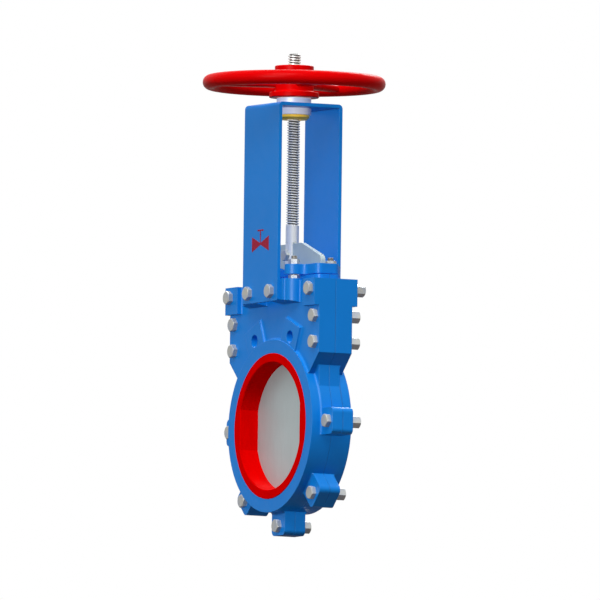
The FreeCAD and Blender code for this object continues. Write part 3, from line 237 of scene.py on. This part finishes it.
def paint_material(name, colour, grain_size, grain_depth, rough, edge_radius, shine=0.16):
    """Sprayed enamel over iron: orange peel, faint clouding, and edges paler in patches, partly worn thin
    and partly a painted highlight.
    """
    shader = Shader(name)
    rounded = shader.rounded(edge_radius)
    cloud = shader.spread(shader.noise(scale=9.0, detail=3.0), 0.0, 1.0)
    base = shader.mix(cloud, linear(scaled(colour, 0.98)), linear(scaled(colour, 1.015)))
    patches = shader.remap(shader.noise(scale=45.0), 0.45, NOISE_HIGH, 0.0, 1.0)
    # Edges paler in random patches: partly edge wear, partly painted highlight on the edges.
    wear_and_highlight = shader.math("MULTIPLY", shader.edge_share(rounded), patches)
    paler = tuple(value + (255 - value) * WEAR_AND_HIGHLIGHT_PALENESS for value in colour)
    base = shader.mix(shader.math("MULTIPLY", wear_and_highlight, WEAR_AND_HIGHLIGHT_SHARE), base, linear(paler))
    peel = shader.noise(scale=1 / grain_size, detail=3.0, rough=0.55)
    gloss = shader.spread(shader.noise(scale=60.0), rough - 0.04, rough + 0.06)
    shader.set(Base_Color=base, Roughness=gloss, Specular_IOR_Level=shine)
    shader.set(Normal=shader.bump(peel, grain_depth, rounded))
    return shader.material


def rubber_material(name, colour):
    """Cast urethane: a waxy sheen, faint flow marks and dust-fine grain."""
    shader = Shader(name)
    flow = shader.noise(scale=26.0, detail=5.0, rough=0.6, vector=shader.stretch((1.0, 3.0, 1.0)))
    marks = shader.spread(flow, 0.0, 1.0)
    base = shader.mix(marks, linear(scaled(colour, 0.95)), linear(scaled(colour, 1.03)))
    grain = shader.noise(scale=1400.0, detail=2.0)
    gloss = shader.spread(shader.noise(scale=130.0), 0.34, 0.48)
    shader.set(Base_Color=base, Roughness=gloss, Specular_IOR_Level=0.0005)
    shader.set(Normal=shader.bump(grain, 0.04 * MM, shader.rounded(0.6 * MM)))
    return shader.material


def zinc_material(name, colour):
    """Plated steel: a little cloudy, with a faint warm and cool passivation tint."""
    shader = Shader(name)
    red, green, blue = colour
    tint = shader.remap(shader.noise(scale=85.0, detail=2.0), 0.35, 0.65, 0.0, 1.0)
    cool = (red * 0.96, green * 0.99, blue * 1.05)
    warm = (red * 1.05, green * 1.04, blue * 0.99)
    base = shader.mix(tint, linear(cool), linear(warm))
    cloud = shader.spread(shader.noise(scale=700.0, detail=3.0), 0.0, 0.35)
    base = shader.mix(cloud, base, linear(scaled(colour, 0.88)))
    gloss = shader.spread(shader.noise(scale=300.0), 0.28, 0.42)
    shader.set(Base_Color=base, Metallic=0.5, Roughness=gloss)
    grain = shader.noise(scale=1100.0, detail=3.0)
    shader.set(Normal=shader.bump(grain, 0.03 * MM, shader.rounded(0.15 * MM)))
    return shader.material


def painted_root_shade(shader):
    """High in the stem's thread roots, where the roots get painted shade."""
    from_axis = shader.node("ShaderNodeVectorMath", operation="LENGTH")
    shader.link(shader.stretch((1.0, 1.0, 0.0)), from_axis.inputs[0])
    deep = shader.remap(from_axis.outputs["Value"], THREAD_CREST, THREAD_ROOT, 0.0, 1.0)
    parts = shader.node("ShaderNodeSeparateXYZ")
    shader.link(shader.place, parts.inputs[0])
    threaded = shader.math("GREATER_THAN", parts.outputs["Z"], THREAD_START)
    return shader.math("MULTIPLY", deep, threaded)


def brushed_material(name, colour, stretch, rough, metallic, grain_depth, root_shade=None):
    """Metal with fine parallel grain, drawn out across the direction of the stretch."""
    shader = Shader(name)
    grain = shader.noise(scale=90.0, detail=5.0, rough=0.65, vector=shader.stretch(stretch))
    cloud = shader.spread(shader.noise(scale=14.0, detail=3.0), 0.0, 1.0)
    base = shader.mix(cloud, linear(scaled(colour, 0.97)), linear(scaled(colour, 1.03)))
    streak = shader.remap(grain, 0.35, 0.65, 0.0, 0.5)
    base = shader.mix(streak, base, linear(scaled(colour, 0.9)))
    # Painted shade in the thread roots, where a root mask is given.
    if root_shade is not None:
        base = shader.mix(root_shade(shader), base, linear(ROOT_SHADE))
    gloss = shader.spread(grain, rough - 0.06, rough + 0.1)
    shader.set(Base_Color=base, Metallic=metallic, Roughness=gloss)
    shader.set(Normal=shader.bump(grain, grain_depth, shader.rounded(0.4 * MM)))
    return shader.material


def turned_material(name, colour, rough, metallic, root_shade=None):
    """Metal turned in a lathe: rings about the stem's axis, spaced along it."""
    return brushed_material(name, colour, TURNED_GRAIN, rough, metallic, TURNED_DEPTH, root_shade)


def packing_material():
    """Square braided packing: crossed diagonal strands."""
    shader = Shader("braided_packing")
    waves = []
    for angle in (45, -45):
        mapping = shader.node("ShaderNodeMapping")
        mapping.inputs["Rotation"].default_value = (math.radians(angle), 0, math.radians(angle))
        shader.link(shader.place, mapping.inputs["Vector"])
        wave = shader.node("ShaderNodeTexWave", wave_type="BANDS", bands_direction="X")
        wave.inputs["Scale"].default_value = 160.0
        shader.link(mapping.outputs["Vector"], wave.inputs["Vector"])
        waves.append(wave.outputs["Fac"])
    braid = shader.math("MAXIMUM", waves[0], waves[1])
    base = shader.mix(braid, linear(scaled(PACKING, 0.7)), linear(PACKING))
    shader.set(Base_Color=base, Roughness=0.85, Normal=shader.bump(braid, 0.4 * MM))
    return shader.material


def gasket_material():
    """Compressed fibre sheet, painted over with the body."""
    shader = Shader("gasket_fibre")
    fibre = shader.noise(scale=500.0, detail=5.0, rough=0.7, vector=shader.stretch((1.0, 1.0, 0.3)))
    base = shader.mix(fibre, linear(scaled(GASKET, 0.8)), linear(scaled(GASKET, 1.3)))
    shader.set(Base_Color=base, Roughness=0.8, Specular_IOR_Level=0.14)
    shader.set(Normal=shader.bump(fibre, 0.1 * MM))
    return shader.material


def marking_material():
    """Stencilled enamel: a dry, slightly uneven coat."""
    shader = Shader("stencil_red")
    coat = shader.noise(scale=320.0, detail=5.0, rough=0.6)
    uneven = shader.remap(coat, 0.35, NOISE_HIGH, 0.0, 1.0)
    base = shader.mix(uneven, linear(MARKING_RED), linear(scaled(MARKING_RED, 0.82)))
    shader.set(Base_Color=base, Roughness=0.55, Specular_IOR_Level=0.14)
    shader.set(Normal=shader.bump(shader.noise(scale=900.0, detail=3.0), 0.03 * MM))
    return shader.material


def floor_material():
    """Plain pale floor that shows only from above, and reflects little light back up."""
    shader = Shader("studio_floor")
    seen = shader.node("ShaderNodeLightPath").outputs["Is Camera Ray"]
    tone = shader.spread(shader.noise(scale=3.0, detail=2.0), 0.0, 1.0)
    pale = shader.mix(tone, linear(FLOOR), linear(scaled(FLOOR, 1.01)))
    shader.set(Base_Color=shader.mix(seen, FLOOR_ALBEDO, pale), Roughness=0.7)
    shader.set(Specular_IOR_Level=0.0)
    clear = shader.node("ShaderNodeBsdfTransparent")
    choose = shader.node("ShaderNodeMixShader")
    behind = shader.node("ShaderNodeNewGeometry").outputs["Backfacing"]
    shader.link(behind, choose.inputs["Fac"])
    shader.link(shader.surface.outputs[0], choose.inputs[1])
    shader.link(clear.outputs[0], choose.inputs[2])
    shader.link(choose.outputs[0], shader.output.inputs["Surface"])
    return shader.material


def make_materials():
    """Each node's material, and the plating that every other node has."""
    cast_paint = paint_material(
        "blue_cast_paint",
        BLUE,
        grain_size=1.1 * MM,
        grain_depth=0.12 * MM,
        rough=0.36,
        edge_radius=1.0 * MM,
    )
    sheet_paint = paint_material(
        "blue_sheet_paint",
        BLUE,
        grain_size=1.6 * MM,
        grain_depth=0.04 * MM,
        rough=0.34,
        edge_radius=0.6 * MM,
    )
    wheel_paint = paint_material(
        "red_wheel_paint",
        RED_ENAMEL,
        grain_size=1.4 * MM,
        grain_depth=0.08 * MM,
        rough=0.3,
        edge_radius=1.0 * MM,
        shine=0.02,
    )
    rubber = rubber_material("red_urethane", RED_RUBBER)
    # The stem's thread roots get painted shade.
    stem_steel = turned_material("stem_steel", STAINLESS, rough=0.34, metallic=0.25, root_shade=painted_root_shade)
    bearing = turned_material("bearing_steel", BEARING, rough=0.2, metallic=0.8)
    bronze = turned_material("turned_bronze", BRONZE, rough=0.34, metallic=0.15)
    housing = turned_material("housing_zinc", HOUSING, rough=0.4, metallic=0.1)
    gate_steel = brushed_material(
        "gate_steel", PLATE, GATE_GRAIN, rough=0.42, metallic=0.3, grain_depth=0.04 * MM
    )
    by_node = {
        "body_front": cast_paint,
        "body_rear": cast_paint,
        "gland": cast_paint,
        "yoke": sheet_paint,
        "handwheel": wheel_paint,
        "liner_front": rubber,
        "liner_rear": rubber,
        "stem": stem_steel,
        "gate": gate_steel,
        "stem_nut": bronze,
        "thrust_washer": bronze,
        "bearing_cage": bronze,
        "bearing_housing": housing,
        "bearing_balls": bearing,
        "bearing_race_lower": bearing,
        "bearing_race_upper": bearing,
        "hub_key": bearing,
        "body_gasket": gasket_material(),
    }
    packing = packing_material()
    for level in ("lower", "middle", "upper"):
        by_node[f"packing_ring_{level}"] = packing
    return by_node, zinc_material("zinc_plate", ZINC)


# ---------------------------------------------------------------- edge finish
EDGE_WIDTHS = {
    "yoke": 0.5 * MM,
    "gate": 0.3 * MM,
    "hub_key": 0.2 * MM,
    "wheel_lock_nut": 0.4 * MM,
}


def soften(piece, width):
    """Round a CAD node's sharp edges a little, as forming or deburring leaves them."""
    weld = piece.modifiers.new("weld", "WELD")
    weld.merge_threshold = 0.001 * MM
    flat = piece.modifiers.new("flat_faces", "DECIMATE")
    flat.decimate_type = "DISSOLVE"
    flat.angle_limit = math.radians(0.6)
    bevel = piece.modifiers.new("edges", "BEVEL")
    bevel.width = width
    bevel.segments = 3
    bevel.limit_method = "ANGLE"
    bevel.angle_limit = math.radians(35.0)
    bevel.use_clamp_overlap = True
    bevel.miter_outer = "MITER_ARC"
    normals = piece.modifiers.new("normals", "WEIGHTED_NORMAL")
    normals.keep_sharp = True


def dress_nodes(frame):
    """Give each CAD node its material, and its rounded edges where it has them."""
    by_node, zinc = make_materials()
    for name, piece in frame["nodes"].items():
        piece.data.materials.clear()
        piece.data.materials.append(by_node.get(name, zinc))
        if name in EDGE_WIDTHS:
            soften(piece, EDGE_WIDTHS[name])


# ---------------------------------------------------------------- threads
STUD_RADIUS = 5 * MM
STUD_PITCH = 1.5 * MM
STUD_DEPTH = 0.9 * MM
STUD_SIDES = 32
ROWS_PER_PITCH = 8
FLANK_SLOPE = 3
CREST_SHARE = 0.25


def thread_radius(turn, level, low, high):
    """The rod's radius at one place: flat crests, sloped flanks and a bevel at each end."""
    phase = (level / STUD_PITCH - turn) % 1.0
    flank = min(1.0, max(0.0, FLANK_SLOPE * abs(phase - 0.5) - CREST_SHARE))
    bevel = min(level - low, high - level) + STUD_RADIUS - STUD_DEPTH
    return min(STUD_RADIUS - STUD_DEPTH * flank, bevel)


def add_threaded_rod(points, faces, across, depth, low, high):
    """One closed rod along Z, threaded from end to end."""
    first = len(points)
    rows = round((high - low) / STUD_PITCH * ROWS_PER_PITCH)
    for row in range(rows + 1):
        level = low + (high - low) * row / rows
        for side in range(STUD_SIDES):
            turn = side / STUD_SIDES
            radius = thread_radius(turn, level, low, high)
            angle = 2 * math.pi * turn
            points.append((across + radius * math.cos(angle), depth + radius * math.sin(angle), level))
    for row in range(rows):
        below = first + row * STUD_SIDES
        above = below + STUD_SIDES
        for side in range(STUD_SIDES):
            after = (side + 1) % STUD_SIDES
            faces.append((below + side, below + after, above + after, above + side))
    faces.append([first + side for side in reversed(range(STUD_SIDES))])
    faces.append([first + rows * STUD_SIDES + side for side in range(STUD_SIDES)])


def add_gland_studs():
    """The four gland studs with their real thread, in place of the plain rods."""
    low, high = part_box("gland_studs")
    points = []
    faces = []
    for across in (low[0] + STUD_RADIUS, high[0] - STUD_RADIUS):
        for depth in (low[1] + STUD_RADIUS, high[1] - STUD_RADIUS):
            add_threaded_rod(points, faces, across, depth, low[2], high[2])
    mesh = bpy.data.meshes.new("gland_stud_threads")
    mesh.from_pydata(points, [], faces)
    mesh.materials.append(zinc_material("dull_stud_plate", DULL_PLATE))
    studs = bpy.data.objects.new("gland_stud_threads", mesh)
    bpy.context.scene.collection.objects.link(studs)
    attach(studs, "valve_body")
    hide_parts("gland_studs")


# ---------------------------------------------------------------- marking
MARK_WIDTH = 54 * MM
MARK_HEIGHT = 24 * MM
MARK_LEVEL = 284 * MM
MARK_LINE = 2.6 * MM
MARK_THICK = 0.25 * MM
MARK_HANDLE_RISE = 8 * MM
MARK_HANDLE_SHARE = 0.8


def add_prism(points, faces, outline, depth_out, depth_in):
    """Add a flat plate between two depths along Y, with this outline in X and Z."""
    first = len(points)
    count = len(outline)
    for depth in (depth_out, depth_in):
        points.extend((across, depth, level) for across, level in outline)
    faces.append([first + corner for corner in range(count)])
    faces.append([first + count + corner for corner in reversed(range(count))])
    for corner in range(count):
        after = (corner + 1) % count
        faces.append([first + after, first + corner, first + count + corner, first + count + after])


def rectangle(left, right, low, high):
    return [(left, low), (right, low), (right, high), (left, high)]


def add_marking():
    """The drawing-office sign for a hand-worked valve, stencilled on the yoke's front plate."""
    half = MARK_WIDTH / 2
    reach = MARK_HEIGHT / 2
    waist = MARK_LINE / 2
    handle = reach + MARK_HANDLE_RISE
    grip = reach * MARK_HANDLE_SHARE
    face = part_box("yoke")[0][1]
    outlines = [
        [(-half, -reach), (0, -waist), (half, -reach), (half, reach), (0, waist), (-half, reach)],
        rectangle(-waist, waist, waist, handle),
        rectangle(-grip, grip, handle, handle + MARK_LINE),
    ]
    points = []
    faces = []
    for outline in outlines:
        raised = [(across, MARK_LEVEL + level) for across, level in outline]
        add_prism(points, faces, raised, face - MARK_THICK, face)
    mesh = bpy.data.meshes.new("valve_sign")
    mesh.from_pydata(points, [], faces)
    mesh.materials.append(marking_material())
    sign = bpy.data.objects.new("valve_sign", mesh)
    bpy.context.scene.collection.objects.link(sign)
    edges = sign.modifiers.new("edges", "BEVEL")
    edges.width = MARK_THICK * 0.4
    edges.segments = 2
    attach(sign, "valve_body")


# ---------------------------------------------------------------- stage
def direction(azimuth, elevation):
    """Away from the valve, with azimuth in degrees from the front face round to the right."""
    turn = math.radians(azimuth)
    rise = math.radians(elevation)
    level = math.cos(rise)
    return Vector((math.sin(turn) * level, -math.cos(turn) * level, math.sin(rise)))


def view_axes():
    """The camera's backward, right and up directions, with its roll."""
    back = direction(VIEW_AZIMUTH, VIEW_ELEVATION)
    right = Vector((0, 0, 1)).cross(back).normalized()
    up = back.cross(right)
    roll = Matrix.Rotation(math.radians(VIEW_ROLL), 3, back)
    return back, roll @ right, roll @ up


def add_camera():
    back, right, up = view_axes()
    data = bpy.data.cameras.new("camera")
    data.type = "ORTHO"
    data.ortho_scale = VIEW_WIDTH
    data.clip_end = VIEW_REACH
    camera = bpy.data.objects.new("camera", data)
    bpy.context.scene.collection.objects.link(camera)
    target = Vector((0, 0, VIEW_LEVEL)) + right * VIEW_RIGHT_SHIFT
    spot = target + back * VIEW_DISTANCE
    axes = Matrix((right, up, back)).transposed()
    camera.matrix_world = Matrix.Translation(spot) @ axes.to_4x4()
    bpy.context.scene.camera = camera


def add_sun(name, place, share, shadows, shine_only=False):
    """A broad distant light; a share of 1 shows a matt face turned to it at its own colour."""
    data = bpy.data.lights.new(name, "SUN")
    data.energy = math.pi * share
    data.angle = math.radians(SUN_SPREAD)
    data.use_shadow = shadows
    lamp = bpy.data.objects.new(name, data)
    lamp.visible_diffuse = not shine_only
    bpy.context.scene.collection.objects.link(lamp)
    lamp.rotation_euler = direction(*place).to_track_quat("Z", "Y").to_euler()


def add_world():
    """Studio surroundings, brighter overhead, that show as plain white behind the valve."""
    world = bpy.data.worlds.new("studio")
    bpy.context.scene.world = world
    world.use_nodes = True
    tree = world.node_tree
    tree.nodes.clear()
    place = tree.nodes.new("ShaderNodeTexCoord")
    parts = tree.nodes.new("ShaderNodeSeparateXYZ")
    tree.links.new(place.outputs["Generated"], parts.inputs[0])
    shades = []
    for horizon, gain in ((MATT_HORIZON, MATT_ZENITH_GAIN), (SHINY_HORIZON, SHINY_ZENITH_GAIN)):
        rise = tree.nodes.new("ShaderNodeMapRange")
        rise.inputs["To Min"].default_value = horizon
        rise.inputs["To Max"].default_value = horizon + gain
        shade = tree.nodes.new("ShaderNodeBackground")
        shade.inputs["Color"].default_value = (1, 1, 1, 1)
        tree.links.new(parts.outputs["Z"], rise.inputs["Value"])
        tree.links.new(rise.outputs["Result"], shade.inputs["Strength"])
        shades.append(shade.outputs[0])
    seen = tree.nodes.new("ShaderNodeBackground")
    seen.inputs["Color"].default_value = (1, 1, 1, 1)
    path = tree.nodes.new("ShaderNodeLightPath")
    by_shine = tree.nodes.new("ShaderNodeMixShader")
    by_sight = tree.nodes.new("ShaderNodeMixShader")
    output = tree.nodes.new("ShaderNodeOutputWorld")
    links = (
        (path.outputs["Is Glossy Ray"], by_shine.inputs["Fac"]),
        (shades[0], by_shine.inputs[1]),
        (shades[1], by_shine.inputs[2]),
        (path.outputs["Is Camera Ray"], by_sight.inputs["Fac"]),
        (by_shine.outputs[0], by_sight.inputs[1]),
        (seen.outputs[0], by_sight.inputs[2]),
        (by_sight.outputs[0], output.inputs["Surface"]),
    )
    for source, target in links:
        tree.links.new(source, target)


def add_floor(level):
    """A round pale floor just under the lowest lug."""
    rings = FLOOR_RINGS
    sides = FLOOR_SIDES
    points = [(0, 0, level)]
    faces = []
    for ring in range(1, rings + 1):
        reach = FLOOR_RADIUS * ring / rings
        for side in range(sides):
            angle = 2 * math.pi * side / sides
            points.append((reach * math.cos(angle), reach * math.sin(angle), level))
    for side in range(sides):
        faces.append((0, 1 + side, 1 + (side + 1) % sides))
    for ring in range(rings - 1):
        inner = 1 + ring * sides
        outer = inner + sides
        for side in range(sides):
            after = (side + 1) % sides
            faces.append((inner + side, outer + side, outer + after, inner + after))
    mesh = bpy.data.meshes.new("floor")
    mesh.from_pydata(points, [], faces)
    mesh.materials.append(floor_material())
    floor = bpy.data.objects.new("floor", mesh)
    bpy.context.scene.collection.objects.link(floor)


def set_stage():
    low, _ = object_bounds()
    add_floor(low[2] - FLOOR_GAP)
    add_world()
    add_sun("key", FRONT_SUN, share=0.25, shadows=True)
    add_sun("fill", FRONT_SUN, share=0.9, shadows=False)
    add_sun("back", BACK_SUN, share=0.6, shadows=False)
    add_sun("glint", LOW_SUN, share=1.2, shadows=True, shine_only=True)
    add_camera()
    bpy.context.scene.view_settings.view_transform = "Standard"


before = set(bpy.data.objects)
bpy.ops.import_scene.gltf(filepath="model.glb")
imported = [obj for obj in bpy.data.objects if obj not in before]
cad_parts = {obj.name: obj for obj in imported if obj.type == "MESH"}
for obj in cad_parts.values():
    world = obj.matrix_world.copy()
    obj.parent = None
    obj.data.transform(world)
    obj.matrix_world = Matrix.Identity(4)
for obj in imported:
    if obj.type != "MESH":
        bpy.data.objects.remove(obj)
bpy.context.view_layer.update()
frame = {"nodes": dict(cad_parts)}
dress_nodes(frame)
add_gland_studs()
add_marking()
set_stage()
